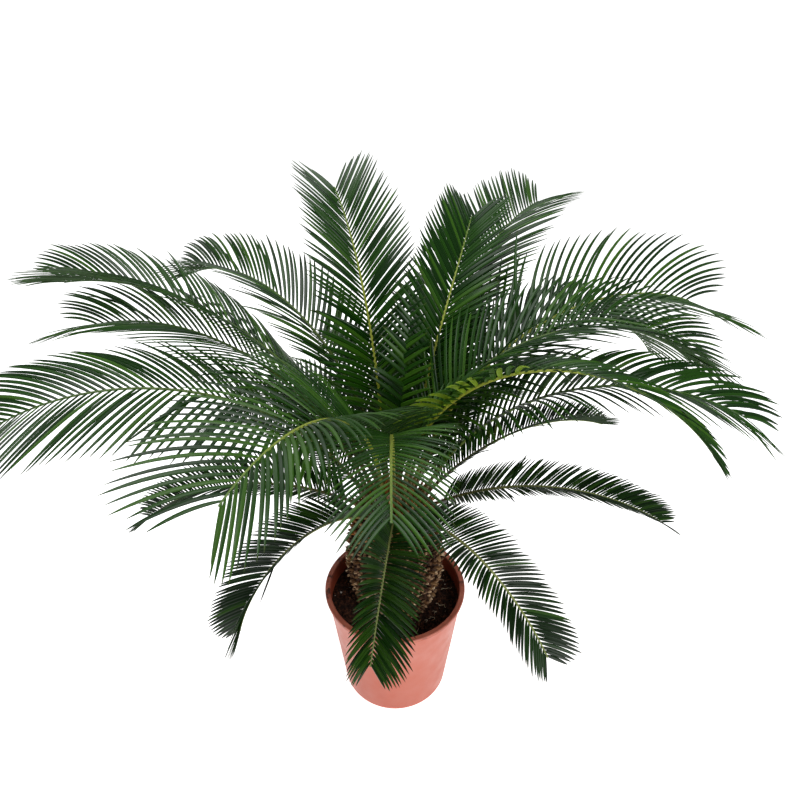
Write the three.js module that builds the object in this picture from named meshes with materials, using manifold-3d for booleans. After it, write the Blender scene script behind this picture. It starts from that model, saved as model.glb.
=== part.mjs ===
// A young sago palm (Cycas revoluta) in a plastic nursery pot.
//
// Millimetres and degrees, +Z up. The origin is the centre of the pot's flat underside.
// Headings are counted from +X towards +Y, so 90 is straight back and 270 is straight forward.
// The plant is a pot, its soil, a short trunk, a crown of woolly scales and two flushes of fronds:
// an older one of short fronds low down, and a younger one of long fronds that arch over it.

import * as THREE from 'three';
import { mergeVertices } from 'three/addons/utils/BufferGeometryUtils.js';
import Module from 'manifold-3d';

const wasm = await Module();
wasm.setup();

// ---------------------------------------------------------------- driving dimensions

const CLEARANCE = 0.3;          // gap between pieces that touch on the real plant
const ROUND_SIDES = 32;         // sides of the pot, the soil, the trunk and the crown

const POT_HEIGHT = 240;
const POT_RIM_RADIUS = 130;     // outside of the rolled rim
const POT_MOUTH_RADIUS = 126;   // outside of the wall where it meets the rim
const POT_FOOT_RADIUS = 100;    // outside of the wall at the foot
const POT_FOOT_CHAMFER = 4;
const POT_WALL = 3;
const POT_RIM_HEIGHT = 9;
const POT_RIM_WIDTH = 10;
const DRAIN_HOLES = 8;
const DRAIN_HOLE_RADIUS = 6;
const DRAIN_RING_RADIUS = 70;

const SOIL_TOP = 214;           // the soil stops below the rim
const SOIL_LEVEL_RADIUS = 82;   // it is level under the trunk and falls a little towards the wall
const SOIL_FALL = 5;

const TRUNK_FOOT_RADIUS = 68;
const TRUNK_BELLY_RADIUS = 87;
const TRUNK_SHOULDER_RADIUS = 62;
const TRUNK_TOP = 424;
const TRUNK_RINGS = 7;

const CROWN_RADIUS = 57;
const CROWN_HEIGHT = 27;
const CROWN_RINGS = 5;

// Where a frond's stalk stands on the crown: distance from the axis.
const SEAT_RADIUS = { inner: 24, outer: 40, low: 51 };
const SEAT_DEPTH = 3;           // how far a stalk would run into the crown before it is trimmed

const BEND_POWER = 1.25;        // over 1, a frond bends more towards its tip than at its stalk
const RIB_STEPS = 14;
const RIB_TAPER_POWER = 0.8;    // under 1, a rib thins more near its stalk
const RIB_DEPTH = 0.9;          // for 1 of its width
const LAST_LEAF = 0.985;        // share of the rib where the last leaflets stand
const LEAF_KNEE = 0.4;          // share of a leaflet's length where it is broadest and bends
const SPREAD_POWER = 1.5;       // over 1, the leaflets close up more towards the frond's tip
const TIP_SAG = 0.5;            // what the last leaflets have of the sag, and of the width
const TIP_WIDTH = 0.7;
const LEAF_GAP = 0.4;           // least distance between the leaflets of two fronds

// Sag is how far a leaflet's tip turns to the ground, for 1 of the way it sets out.
const FLUSH = {
  young: {
    ribWidth: 10, ribTipWidth: 3, stalk: 0.17, pairs: 17,
    leafLength: 170, leafWidth: 13, leafThickness: 1.9, sag: 0.6,
  },
  old: {
    ribWidth: 8, ribTipWidth: 2.6, stalk: 0.1, pairs: 14,
    leafLength: 74, leafWidth: 10, leafThickness: 1.6, sag: 0.3,
  },
};

// name, flush, seat ring, seat's place round the crown, heading, rise at the stalk, rise at the tip,
// length of the rib, sideways sweep along the rib, how high it holds its leaflets, how wide it
// spreads them, and their length beside its flush. Holds and spreads are those of the left
// leaflets at the stalk and at the tip, then those of the right ones.
const FRONDS = [
  ['young_frond_01', 'young', 'inner', 120, 101, 73, 20, 585, 8, [50, 34, 58, 40], [60, 38, 60, 38], 0.77],
  ['young_frond_02', 'young', 'inner', 45, 53, 78, 20, 525, 23, [58, 42, 32, 30], [54, 34, 58, 38], 0.66],
  ['young_frond_03', 'young', 'inner', 80, 62, 66, 0, 675, -9, [10, 42, 30, 22], [58, 38, 54, 32], 0.84],
  ['young_frond_04', 'young', 'outer', 106, 134, 72, -28, 660, 10, [38, 26, 14, 62], [44, 22, 42, 28], 0.86],
  ['young_frond_05', 'young', 'outer', 150, 161, 70, -11, 670, 10, [36, 42, -40, 58], [44, 22, 46, 26], 0.88],
  ['young_frond_06', 'young', 'outer', 172, 165, 72, -17, 595, 6, [18, 14, -24, 54], [46, 24, 42, 24], 0.94],
  ['young_frond_07', 'young', 'outer', 128, 140, 60, -60, 420, 0, [24, 20, 24, 20], [50, 28, 50, 28], 0.7],
  ['young_frond_08', 'young', 'outer', 196, 192, 68, -38, 700, 4, [12, 4, 6, 24], [66, 50, 48, 28], 1.02],
  ['young_frond_09', 'young', 'inner', 220, 248, 84, -18, 550, -4, [32, 12, 48, 26], [50, 28, 64, 40], 0.9],
  ['young_frond_10', 'young', 'inner', 268, 269, 84, -15, 500, 2, [30, 4, 30, 4], [66, 32, 66, 32], 0.6],
  ['young_frond_11', 'young', 'inner', -50, -14, 90, -50, 645, -15, [30, 16, 54, 26], [30, 8, 74, 18], 0.5],
  ['young_frond_12', 'young', 'outer', -8, -10, 72, -26, 590, -6, [40, 36, 38, 14], [46, 24, 54, 32], 0.74],
  ['young_frond_13', 'young', 'inner', -20, 10, 88, -46, 650, -8, [26, 46, 36, 22], [50, 28, 50, 28], 0.85],
  ['young_frond_14', 'young', 'inner', 10, 26, 74, -22, 650, -14, [12, 56, 34, 4], [54, 31, 60, 50], 1.1],
  ['young_frond_15', 'young', 'outer', 40, 32, 69, -54, 680, -6, [26, 40, 36, 22], [50, 28, 50, 28], 0.88],
  ['young_frond_16', 'young', 'outer', 62, 78, 50, -56, 560, 0, [24, 20, 24, 20], [50, 28, 50, 28], 0.84],
  ['young_frond_17', 'young', 'outer', 84, 104, 48, -54, 560, 0, [24, 20, 24, 20], [50, 28, 50, 28], 0.84],
  ['old_frond_01', 'old', 'low', 270, 271, 56, -44, 365, -11, [28, 24, 70, 66], [74, 46, 74, 46], 0.95],
  ['old_frond_02', 'old', 'low', 228, 226, 45, -70, 330, 2, [54, 52, 16, 14], [60, 38, 60, 38], 1.05],
  ['old_frond_03', 'old', 'low', 186, 181, 30, -44, 400, 0, [28, 24, 36, 30], [60, 38, 60, 38], 1],
  ['old_frond_04', 'old', 'low', -10, -14, 38, -30, 405, 0, [24, 20, 24, 34], [56, 36, 62, 36], 0.92],
  ['old_frond_05', 'old', 'low', 20, 24, 42, -26, 385, -8, [30, 30, 46, 50], [56, 36, 56, 36], 0.88],
  ['old_frond_06', 'old', 'low', 300, 298, 44, -45, 365, 8, [28, 24, 28, 24], [68, 44, 68, 44], 0.88],
  ['old_frond_07', 'old', 'low', 50, 55, 40, -45, 400, 0, [28, 24, 28, 24], [60, 38, 60, 38], 0.95],
  ['old_frond_08', 'old', 'low', 84, 90, 40, -45, 400, 0, [28, 24, 28, 24], [60, 38, 60, 38], 0.95],
  ['old_frond_09', 'old', 'low', 118, 125, 40, -45, 400, 0, [28, 24, 28, 24], [60, 38, 60, 38], 0.95],
  ['old_frond_10', 'old', 'low', 152, 150, 40, -45, 400, 0, [28, 24, 28, 24], [60, 38, 60, 38], 0.95],
];

// ---------------------------------------------------------------- materials

const finish = (color, roughness) => new THREE.MeshStandardMaterial({ color, roughness, metalness: 0 });
const terracottaPlastic = finish(0xd07c66, 0.5);
const pottingSoil = finish(0x33241c, 0.95);
const leafBases = finish(0x5a4630, 0.9);
const crownWool = finish(0x8a6a42, 0.95);
const youngLeaf = finish(0x2c5a26, 0.4);
const oldLeaf = finish(0x24451f, 0.45);

// ---------------------------------------------------------------- small tools

const radians = THREE.MathUtils.degToRad;
const mix = THREE.MathUtils.lerp;
const UP = new THREE.Vector3(0, 0, 1);

// A vector of length 1 at a heading round the plant and a rise above level.
function direction(heading, rise) {
  const flat = Math.cos(rise);
  return new THREE.Vector3(flat * Math.cos(heading), flat * Math.sin(heading), Math.sin(rise));
}

// A solid of revolution about Z from [radius, height] points that start and end on the axis.
function turned(profile) {
  const points = profile.map(([radius, height]) => new THREE.Vector2(radius, height));
  return new THREE.LatheGeometry(points, ROUND_SIDES).rotateX(Math.PI / 2);
}

// The skin over a row of three-cornered rings, closed at both ends.
function lofted(rings) {
  const faces = [0, 2, 1];
  for (let ring = 0; ring + 1 < rings.length; ring += 1) {
    for (let corner = 0; corner < 3; corner += 1) {
      const near = ring * 3 + corner;
      const next = ring * 3 + ((corner + 1) % 3);
      faces.push(near, next, near + 3, next, next + 3, near + 3);
    }
  }
  const last = (rings.length - 1) * 3;
  faces.push(last, last + 1, last + 2);
  const geometry = new THREE.BufferGeometry().setFromPoints(rings.flat());
  geometry.setIndex(faces);
  return geometry;
}

// A blade that runs from a point through a three-cornered ring to another point.
function spindle(root, ring, tip) {
  const geometry = new THREE.BufferGeometry().setFromPoints([root, ...ring, tip]);
  geometry.setIndex([0, 2, 1, 0, 3, 2, 0, 1, 3, 4, 1, 2, 4, 2, 3, 4, 3, 1]);
  return geometry;
}

// A closed geometry as a solid that can be cut and joined.
function solid(geometry) {
  const bare = geometry.clone();
  bare.deleteAttribute('normal');
  bare.deleteAttribute('uv');
  const merged = mergeVertices(bare, 1e-4);
  const vertProperties = new Float32Array(merged.getAttribute('position').array);
  const triVerts = new Uint32Array(merged.getIndex().array);
  return new wasm.Manifold(new wasm.Mesh({ numProp: 3, vertProperties, triVerts }));
}

// A solid as a named piece of the model.
function piece(name, body, material) {
  const { vertProperties, triVerts } = body.getMesh();
  const geometry = new THREE.BufferGeometry();
  geometry.setAttribute('position', new THREE.BufferAttribute(new Float32Array(vertProperties), 3));
  geometry.setIndex(new THREE.BufferAttribute(new Uint32Array(triVerts), 1));
  geometry.computeVertexNormals();
  const mesh = new THREE.Mesh(geometry, material);
  mesh.name = name;
  return mesh;
}

// ---------------------------------------------------------------- pot and soil

// Outside radius of the pot's tapered wall at a height.
const potRadius = (height) => mix(POT_FOOT_RADIUS, POT_MOUTH_RADIUS, height / POT_HEIGHT);

function pot() {
  const rimFoot = POT_HEIGHT - POT_RIM_HEIGHT;
  const mouth = POT_RIM_RADIUS - POT_RIM_WIDTH;
  const shell = solid(turned([
    [0, 0],
    [POT_FOOT_RADIUS - POT_FOOT_CHAMFER, 0],
    [potRadius(POT_FOOT_CHAMFER), POT_FOOT_CHAMFER],
    [potRadius(rimFoot), rimFoot],
    [POT_RIM_RADIUS - 1, rimFoot],
    [POT_RIM_RADIUS, rimFoot + 2],
    [POT_RIM_RADIUS, POT_HEIGHT - 2],
    [POT_RIM_RADIUS - 2, POT_HEIGHT],
    [mouth + 2, POT_HEIGHT],
    [mouth, POT_HEIGHT - 2],
    [potRadius(rimFoot - 6) - POT_WALL, rimFoot - 6],
    [potRadius(POT_WALL) - POT_WALL, POT_WALL],
    [0, POT_WALL],
  ]));
  const drill = new THREE.CylinderGeometry(DRAIN_HOLE_RADIUS, DRAIN_HOLE_RADIUS, 4 * POT_WALL, 8);
  drill.rotateX(Math.PI / 2);
  drill.translate(DRAIN_RING_RADIUS, 0, 0);
  const holes = [];
  for (let hole = 0; hole < DRAIN_HOLES; hole += 1) {
    holes.push(solid(drill.clone().rotateZ((2 * Math.PI * hole) / DRAIN_HOLES)));
  }
  return shell.subtract(wasm.Manifold.union(holes));
}

function soil() {
  const foot = POT_WALL + CLEARANCE;
  const inside = (height) => potRadius(height) - POT_WALL - CLEARANCE;
  const edge = SOIL_TOP - SOIL_FALL;
  return solid(turned([
    [0, foot],
    [inside(foot) - 1, foot],
    [inside(edge), edge],
    [mix(SOIL_LEVEL_RADIUS, inside(edge), 0.6), SOIL_TOP - 1],
    [SOIL_LEVEL_RADIUS, SOIL_TOP],
    [0, SOIL_TOP],
  ]));
}

// ---------------------------------------------------------------- trunk and crown

// The trunk stands on a narrow foot, swells to its belly and draws in to its shoulder.
function trunkRadius(share) {
  const belly = 0.45;
  if (share < belly) {
    const swell = Math.sin((share / belly) * (Math.PI / 2));
    return mix(TRUNK_FOOT_RADIUS, TRUNK_BELLY_RADIUS, swell);
  }
  const draw = 1 - Math.cos(((share - belly) / (1 - belly)) * (Math.PI / 2));
  return mix(TRUNK_BELLY_RADIUS, TRUNK_SHOULDER_RADIUS, draw);
}

function trunk() {
  const foot = SOIL_TOP + CLEARANCE;
  const profile = [[0, foot]];
  for (let ring = 0; ring <= TRUNK_RINGS; ring += 1) {
    const share = ring / TRUNK_RINGS;
    profile.push([trunkRadius(share), mix(foot, TRUNK_TOP, share)]);
  }
  profile.push([0, TRUNK_TOP]);
  return solid(turned(profile));
}

// The crown is a low dome; grown by some thickness, it is also the tool that trims the stalks.
function crown(grown) {
  const foot = TRUNK_TOP + CLEARANCE - grown;
  const profile = [[0, foot]];
  for (let ring = 0; ring <= CROWN_RINGS; ring += 1) {
    const turn = (ring / CROWN_RINGS) * (Math.PI / 2);
    const radius = (CROWN_RADIUS + grown) * Math.cos(turn);
    const height = TRUNK_TOP + CLEARANCE + (CROWN_HEIGHT + grown) * Math.sin(turn);
    profile.push([ring === CROWN_RINGS ? 0 : radius, height]);
  }
  return solid(turned(profile));
}

// ---------------------------------------------------------------- fronds

// The rib's course: points, each with the way along the rib, across it and up from its face.
function ribCourse(ring, seat, heading, rise, fall, length, sweep) {
  const around = radians(seat);
  const out = SEAT_RADIUS[ring];
  const dome = CROWN_HEIGHT * Math.sqrt(1 - (out / CROWN_RADIUS) ** 2);
  const foot = new THREE.Vector3(out * Math.cos(around), out * Math.sin(around), TRUNK_TOP + dome);
  const way = (share) => direction(
    radians(heading + sweep * share),
    radians(rise + (fall - rise) * share ** BEND_POWER),
  );
  const position = foot.addScaledVector(way(0), -SEAT_DEPTH);
  const course = [];
  const fineSteps = RIB_STEPS * 4;
  for (let step = 0; step <= fineSteps; step += 1) {
    const share = step / fineSteps;
    const along = way(share);
    const across = direction(radians(heading + sweep * share + 90), 0);
    const face = new THREE.Vector3().crossVectors(along, across).normalize();
    course.push({ share, position: position.clone(), along, across, face });
    position.addScaledVector(way((step + 0.5) / fineSteps), length / fineSteps);
  }
  return course;
}

// The place on a course at any share of its length.
function placeAt(course, share) {
  const exact = share * (course.length - 1);
  const index = Math.min(Math.floor(exact), course.length - 2);
  const blend = exact - index;
  const from = course[index];
  const to = course[index + 1];
  return {
    position: from.position.clone().lerp(to.position, blend),
    along: from.along.clone().lerp(to.along, blend).normalize(),
    across: from.across.clone().lerp(to.across, blend).normalize(),
    face: from.face.clone().lerp(to.face, blend).normalize(),
  };
}

// Three corners round a centre: two side by side and one on the ridge below them.
function corners(centre, sideways, upward, width, thickness) {
  return [
    centre.clone().addScaledVector(sideways, -width / 2).addScaledVector(upward, thickness / 2),
    centre.clone().addScaledVector(upward, -thickness / 2),
    centre.clone().addScaledVector(sideways, width / 2).addScaledVector(upward, thickness / 2),
  ];
}

function ribRings(course, flush) {
  const rings = [];
  for (let step = 0; step <= RIB_STEPS; step += 1) {
    const share = step / RIB_STEPS;
    const { position, across, face } = placeAt(course, share);
    const width = mix(flush.ribWidth, flush.ribTipWidth, share ** RIB_TAPER_POWER);
    rings.push(corners(position, across.negate(), face.negate(), width, width * RIB_DEPTH));
  }
  return rings;
}

// Length of a leaflet as a share of the longest: it grows from the stalk over the first part of
// the rib, and falls off over the last.
function leafShare(share) {
  const full = 0.35;
  const falling = 0.86;
  const growth = Math.sin(Math.min(share / full, 1) * (Math.PI / 2));
  const decline = Math.max((share - falling) / (1 - falling), 0) ** 2;
  return mix(0.5, 1, growth) * mix(1, 0.4, decline);
}

// How far along its leafy part a place on a rib lies.
const leafyReach = (flush, share) => (share - flush.stalk) / (1 - flush.stalk);

// One leaflet: its root on the rib's axis, the ring at its knee, and its tip.
function leaflet(course, flush, share, side, spread, raise, length) {
  const { position: root, along, across, face } = placeAt(course, share);
  const reach = leafyReach(flush, share);
  const outward = across.clone().multiplyScalar(side * Math.cos(raise));
  outward.addScaledVector(face, Math.sin(raise));
  const way = along.clone().multiplyScalar(Math.cos(spread)).addScaledVector(outward, Math.sin(spread));
  const broad = along.clone().addScaledVector(way, -along.dot(way)).normalize();
  const upper = new THREE.Vector3().crossVectors(broad, way).multiplyScalar(side).normalize();
  broad.multiplyScalar(-side);
  const sag = flush.sag * mix(1, TIP_SAG, reach);
  const bent = (part) => way.clone().addScaledVector(UP, -sag * part).normalize();
  const knee = root.clone().addScaledVector(bent(LEAF_KNEE / 2), length * LEAF_KNEE);
  const tip = knee.clone().addScaledVector(bent((1 + LEAF_KNEE) / 2), length * (1 - LEAF_KNEE));
  const width = flush.leafWidth * mix(1, TIP_WIDTH, reach);
  return { root, ring: corners(knee, broad, upper, width, flush.leafThickness), tip };
}

// ---------------------------------------------------------------- keeping fronds apart

// A convex lump of points with the directions of its edges and faces, for the test below.
function lump(points, edges) {
  const ways = edges.map(([from, to]) => points[to].clone().sub(points[from]).normalize());
  const faces = [];
  for (let first = 0; first < ways.length; first += 1) {
    for (let second = first + 1; second < ways.length; second += 1) {
      const face = new THREE.Vector3().crossVectors(ways[first], ways[second]);
      if (face.lengthSq() > 1e-6) faces.push(face.normalize());
    }
  }
  return { points, ways, faces, box: new THREE.Box3().setFromPoints(points) };
}

const PRISM_EDGES = [[0, 1], [1, 2], [2, 0], [0, 3], [1, 4], [2, 5], [3, 4], [4, 5], [5, 3]];
const SPIKE_EDGES = [[0, 1], [1, 2], [2, 0], [0, 3], [1, 3], [2, 3]];

// True when some direction shows daylight between two lumps.
function apart(one, other) {
  const daylight = (axis) => {
    const spans = [one, other].map(({ points }) => {
      const heights = points.map((point) => point.dot(axis));
      return [Math.min(...heights), Math.max(...heights)];
    });
    return spans[0][0] > spans[1][1] + LEAF_GAP || spans[1][0] > spans[0][1] + LEAF_GAP;
  };
  if (one.faces.some(daylight) || other.faces.some(daylight)) return true;
  const crossing = new THREE.Vector3();
  return one.ways.some((way) => other.ways.some((otherWay) => {
    crossing.crossVectors(way, otherWay);
    return crossing.lengthSq() > 1e-6 && daylight(crossing.normalize());
  }));
}

function ribLumps(rings) {
  return rings.slice(1).map((ring, index) => lump([...rings[index], ...ring], PRISM_EDGES));
}

function leafLumps({ root, ring, tip }) {
  return [lump([...ring, root], SPIKE_EDGES), lump([...ring, tip], SPIKE_EDGES)];
}

// True when a leaflet hangs clear of the trunk and stays clear of what other fronds hold.
function hangsFree(lumps, taken) {
  const clearOfTrunk = lumps.every(({ points }) => points.every(
    ({ x, y, z }) => z > TRUNK_TOP + CROWN_HEIGHT + 2 || Math.hypot(x, y) > TRUNK_BELLY_RADIUS + 4,
  ));
  return clearOfTrunk && lumps.every((own) => taken.every(
    (held) => !own.box.intersectsBox(held.roomy) || apart(own, held),
  ));
}

function hold(taken, frond, lumps) {
  lumps.forEach((part) => {
    taken.push({ ...part, frond, roomy: part.box.clone().expandByScalar(LEAF_GAP) });
  });
}

// Every frond's rib is set first. Then each leaflet in turn takes the first stance that is free:
// its own, one a little lifted or lowered, or a shorter one. Where none is free it is left out.
const STANCES = [[0, 1], [-10, 1], [10, 1], [-18, 0.9], [18, 0.9], [0, 0.75], [0, 0.55]];

function fronds() {
  const taken = [];
  const grown = FRONDS.map(([name, age, ring, seat, heading, rise, fall, length, sweep, ...leaves]) => {
    const flush = FLUSH[age];
    const course = ribCourse(ring, seat, heading, rise, fall, length, sweep);
    const rings = ribRings(course, flush);
    hold(taken, name, ribLumps(rings));
    return { name, flush, age, leaves, course, solids: [solid(lofted(rings))] };
  });
  grown.forEach(({ name, flush, leaves, course, solids }) => {
    const [holds, spreads, longer] = leaves;
    const others = taken.filter(({ frond }) => frond !== name);
    const own = [];
    for (let pair = 0; pair < flush.pairs; pair += 1) {
      const share = mix(flush.stalk, LAST_LEAF, pair / (flush.pairs - 1));
      const reach = leafyReach(flush, share);
      for (const side of [-1, 1]) {
        const [held, heldTip] = side > 0 ? holds.slice(0, 2) : holds.slice(2);
        const [spread, spreadTip] = side > 0 ? spreads.slice(0, 2) : spreads.slice(2);
        const wide = radians(mix(spread, spreadTip, reach ** SPREAD_POWER));
        for (const [shift, stretch] of STANCES) {
          const length = flush.leafLength * longer * leafShare(share) * stretch;
          const raise = radians(mix(held, heldTip, reach) + shift);
          const blade = leaflet(course, flush, share, side, wide, raise, length);
          const lumps = leafLumps(blade);
          if (hangsFree(lumps, others)) {
            own.push(...lumps);
            solids.push(solid(spindle(blade.root, blade.ring, blade.tip)));
            break;
          }
        }
      }
    }
    hold(taken, name, own);
  });
  const trimmer = crown(CLEARANCE);
  return grown.map(({ name, age, solids }) => {
    const joined = wasm.Manifold.union(solids).subtract(trimmer);
    return piece(name, joined, age === 'young' ? youngLeaf : oldLeaf);
  });
}

// ---------------------------------------------------------------- the plant

const palm = new THREE.Group();
palm.add(piece('pot', pot(), terracottaPlastic));
palm.add(piece('soil', soil(), pottingSoil));
palm.add(piece('trunk', trunk(), leafBases));
palm.add(piece('crown', crown(0), crownWool));
palm.add(...fronds());

export default palm;
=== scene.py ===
# A young sago palm in a plastic nursery pot, standing on a pale floor.
#
# Metres and degrees, +Z up, the origin at the centre of the pot's flat underside. Headings are counted
# from +X towards +Y, so 90 is straight back and 270 is straight forward.
import math

import bpy
import numpy as np
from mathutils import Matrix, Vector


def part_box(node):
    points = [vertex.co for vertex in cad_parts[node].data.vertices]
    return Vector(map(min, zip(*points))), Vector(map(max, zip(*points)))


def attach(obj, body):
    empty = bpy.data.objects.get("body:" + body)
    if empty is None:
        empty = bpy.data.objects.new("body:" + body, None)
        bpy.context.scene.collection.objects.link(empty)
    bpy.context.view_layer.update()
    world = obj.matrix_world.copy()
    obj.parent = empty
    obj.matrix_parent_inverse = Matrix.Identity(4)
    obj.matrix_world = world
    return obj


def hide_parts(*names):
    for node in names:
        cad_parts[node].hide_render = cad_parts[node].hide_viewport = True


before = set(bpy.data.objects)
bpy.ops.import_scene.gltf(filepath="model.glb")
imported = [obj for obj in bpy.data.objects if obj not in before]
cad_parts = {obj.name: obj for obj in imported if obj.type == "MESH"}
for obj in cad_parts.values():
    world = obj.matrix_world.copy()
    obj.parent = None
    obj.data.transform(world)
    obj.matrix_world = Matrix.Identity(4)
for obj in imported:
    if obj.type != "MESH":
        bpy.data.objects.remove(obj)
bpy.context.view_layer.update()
bpy.ops.object.select_all(action="DESELECT")


# ---------------------------------------------------------------- camera
# It stands in front, above the crown, and looks down on the plant by about a third of a right angle.

bpy.ops.object.camera_add(location=(0.0093, -0.8424, 1.1819), rotation=(math.radians(57.6), 0, 0))
camera = bpy.context.object
camera.data.sensor_width = 36
camera.data.lens = 29.25
bpy.context.scene.camera = camera


# ---------------------------------------------------------------- stage
# A white floor that runs out of sight in a white room, a large soft box overhead, a smaller one to the
# right of the camera, and a wide one behind the plant whose light slides along the upper faces of the
# leaflets. The view transform keeps the plastic and the greens as saturated as they are.

bpy.context.scene.view_settings.view_transform = "Standard"

world = bpy.data.worlds.new("white_room")
bpy.context.scene.world = world
world.use_nodes = True
world.node_tree.nodes["Background"].inputs["Color"].default_value = (1, 1, 1, 1)
world.node_tree.nodes["Background"].inputs["Strength"].default_value = 0.22

bpy.ops.mesh.primitive_plane_add(size=600)
floor = bpy.context.object
floor.name = "floor"
floor_paint = bpy.data.materials.new("floor_paint")
floor_paint.use_nodes = True
floor_shader = floor_paint.node_tree.nodes["Principled BSDF"]
floor_shader.inputs["Base Color"].default_value = (0.96, 0.96, 0.96, 1)
floor_shader.inputs["Roughness"].default_value = 0.9
floor_shader.inputs["Specular IOR Level"].default_value = 0.1
floor_shader.inputs["Emission Color"].default_value = (1, 1, 1, 1)
floor_shader.inputs["Emission Strength"].default_value = 0.92
floor.data.materials.append(floor_paint)


def soft_box(name, location, degrees, width, depth, energy):
    """A rectangular light, turned by degrees about X, Y and Z from facing straight down."""
    bpy.ops.object.light_add(type="AREA", location=location)
    box = bpy.context.object
    box.name = name
    box.rotation_euler = [math.radians(angle) for angle in degrees]
    box.data.shape = "RECTANGLE"
    box.data.size = width
    box.data.size_y = depth
    box.data.energy = energy


soft_box("overhead_box", (-0.5, 0.1, 2.6), (3, -12, 0), 2.2, 1.6, 44)
soft_box("front_box", (1.5, -2.2, 1.9), (58, 0, 34), 1.4, 1.4, 42)
soft_box("back_box", (-0.6, 2.4, 2.1), (-62, 0, -10), 3.6, 1.3, 16)


# ---------------------------------------------------------------- pot
# A ten-litre nursery pot, moulded in one piece from thin terracotta-coloured plastic: a tapered wall,
# a rolled lip of two bands with a groove between them, and a flat base with eight drain holes. It is
# a little dusty with soil, and dark patches round the lip stand partly for scuffs and dirt and partly
# for painted shade where the light falls off over the lip.

POT_FOOT_RADIUS = 0.100
POT_FOOT_CHAMFER = 0.004
POT_MOUTH_RADIUS = 0.126
POT_WALL = 0.003
LIP_HEIGHT = 0.009
LIP_WIDTH = 0.010
DRAIN_HOLES = 8
DRAIN_HOLE_RADIUS = 0.006
DRAIN_RING_RADIUS = 0.070

pot_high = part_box("pot")[1]
POT_HEIGHT = pot_high.z
LIP_RADIUS = pot_high.x


def pot_radius(height):
    """Outside radius of the pot's wall."""
    return POT_FOOT_RADIUS + (POT_MOUTH_RADIUS - POT_FOOT_RADIUS) * height / POT_HEIGHT


def tint(red, green, blue):
    """A colour as a screen shows it, 0 to 255, as the light values that a shader takes."""
    return tuple((value / 255) ** 2.2 for value in (red, green, blue))


def new_material(name, color, roughness, specular=0.5):
    """A plain opaque material, and its shader."""
    material = bpy.data.materials.new(name)
    material.use_nodes = True
    shader = material.node_tree.nodes["Principled BSDF"]
    shader.inputs["Base Color"].default_value = (*color, 1)
    shader.inputs["Roughness"].default_value = roughness
    shader.inputs["Specular IOR Level"].default_value = specular
    return material, shader


def noise(material, scale, detail=2, stretch=(1, 1, 1)):
    """Noise from 0 to 1 over the object, finer as scale grows and drawn out where stretch is small."""
    nodes, links = material.node_tree.nodes, material.node_tree.links
    place = nodes.new("ShaderNodeTexCoord")
    mapping = nodes.new("ShaderNodeMapping")
    mapping.inputs["Scale"].default_value = stretch
    texture = nodes.new("ShaderNodeTexNoise")
    texture.inputs["Scale"].default_value = scale
    texture.inputs["Detail"].default_value = detail
    links.new(place.outputs["Object"], mapping.inputs["Vector"])
    links.new(mapping.outputs["Vector"], texture.inputs["Vector"])
    return texture.outputs["Fac"]


def ramp(material, factor, *stops):
    """The colour that a factor has on a row of stops, each a place from 0 to 1 and a colour."""
    nodes, links = material.node_tree.nodes, material.node_tree.links
    node = nodes.new("ShaderNodeValToRGB")
    elements = node.color_ramp.elements
    while len(elements) < len(stops):
        elements.new(0.5)
    for element, (place, color) in zip(elements, stops):
        element.position = place
        element.color = (*color, 1)
    links.new(factor, node.inputs["Fac"])
    return node.outputs["Color"]


def over(material, factor, below, above):
    """One colour laid over another where the factor is 1."""
    nodes, links = material.node_tree.nodes, material.node_tree.links
    node = nodes.new("ShaderNodeMix")
    node.data_type = "RGBA"
    links.new(factor, node.inputs["Factor"])
    links.new(below, node.inputs["A"])
    links.new(above, node.inputs["B"])
    return node.outputs["Result"]


def bumped(material, shader, height, depth):
    """Relief of a depth in metres, from a factor."""
    nodes, links = material.node_tree.nodes, material.node_tree.links
    bump = nodes.new("ShaderNodeBump")
    bump.inputs["Distance"].default_value = depth
    links.new(height, bump.inputs["Height"])
    links.new(bump.outputs["Normal"], shader.inputs["Normal"])


lip_foot = POT_HEIGHT - LIP_HEIGHT
mouth = LIP_RADIUS - LIP_WIDTH
# Height and radius, up the outside, over the lip and down the inside
pot_profile = [
    (POT_FOOT_CHAMFER, pot_radius(POT_FOOT_CHAMFER)),
    (0.5 * lip_foot, pot_radius(0.5 * lip_foot)),
    (lip_foot - 0.001, pot_radius(lip_foot) - 0.0002),
    (lip_foot, pot_radius(lip_foot) + 0.0008),
    (lip_foot + 0.0005, LIP_RADIUS - 0.0016),
    (lip_foot + 0.0012, LIP_RADIUS - 0.0010),
    (lip_foot + 0.0032, LIP_RADIUS - 0.0010),
    (lip_foot + 0.0040, LIP_RADIUS - 0.0022),
    (lip_foot + 0.0046, LIP_RADIUS - 0.0006),
    (lip_foot + 0.0054, LIP_RADIUS),
    (lip_foot + 0.0078, LIP_RADIUS),
    (POT_HEIGHT, LIP_RADIUS - 0.0014),
    (POT_HEIGHT - 0.0004, LIP_RADIUS - 0.5 * LIP_WIDTH),
    (POT_HEIGHT, mouth + 0.0018),
    (POT_HEIGHT - 0.0014, mouth + 0.0002),
    (POT_HEIGHT - 0.0040, mouth + 0.0006),
    (lip_foot - 0.004, pot_radius(lip_foot) - POT_WALL),
    (0.5 * lip_foot, pot_radius(0.5 * lip_foot) - POT_WALL),
    (POT_WALL, pot_radius(POT_WALL) - POT_WALL),
]
last_height, last_radius = 0, POT_FOOT_RADIUS - POT_FOOT_CHAMFER
bpy.ops.mesh.primitive_circle_add(
    vertices=144, radius=last_radius, fill_type="NGON", enter_editmode=True
)
for height, radius in pot_profile:
    bpy.ops.mesh.extrude_region_move(TRANSFORM_OT_translate={"value": (0, 0, height - last_height)})
    bpy.ops.transform.resize(value=(radius / last_radius, radius / last_radius, 1))
    last_height, last_radius = height, radius
bpy.ops.mesh.select_all(action="SELECT")
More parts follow.
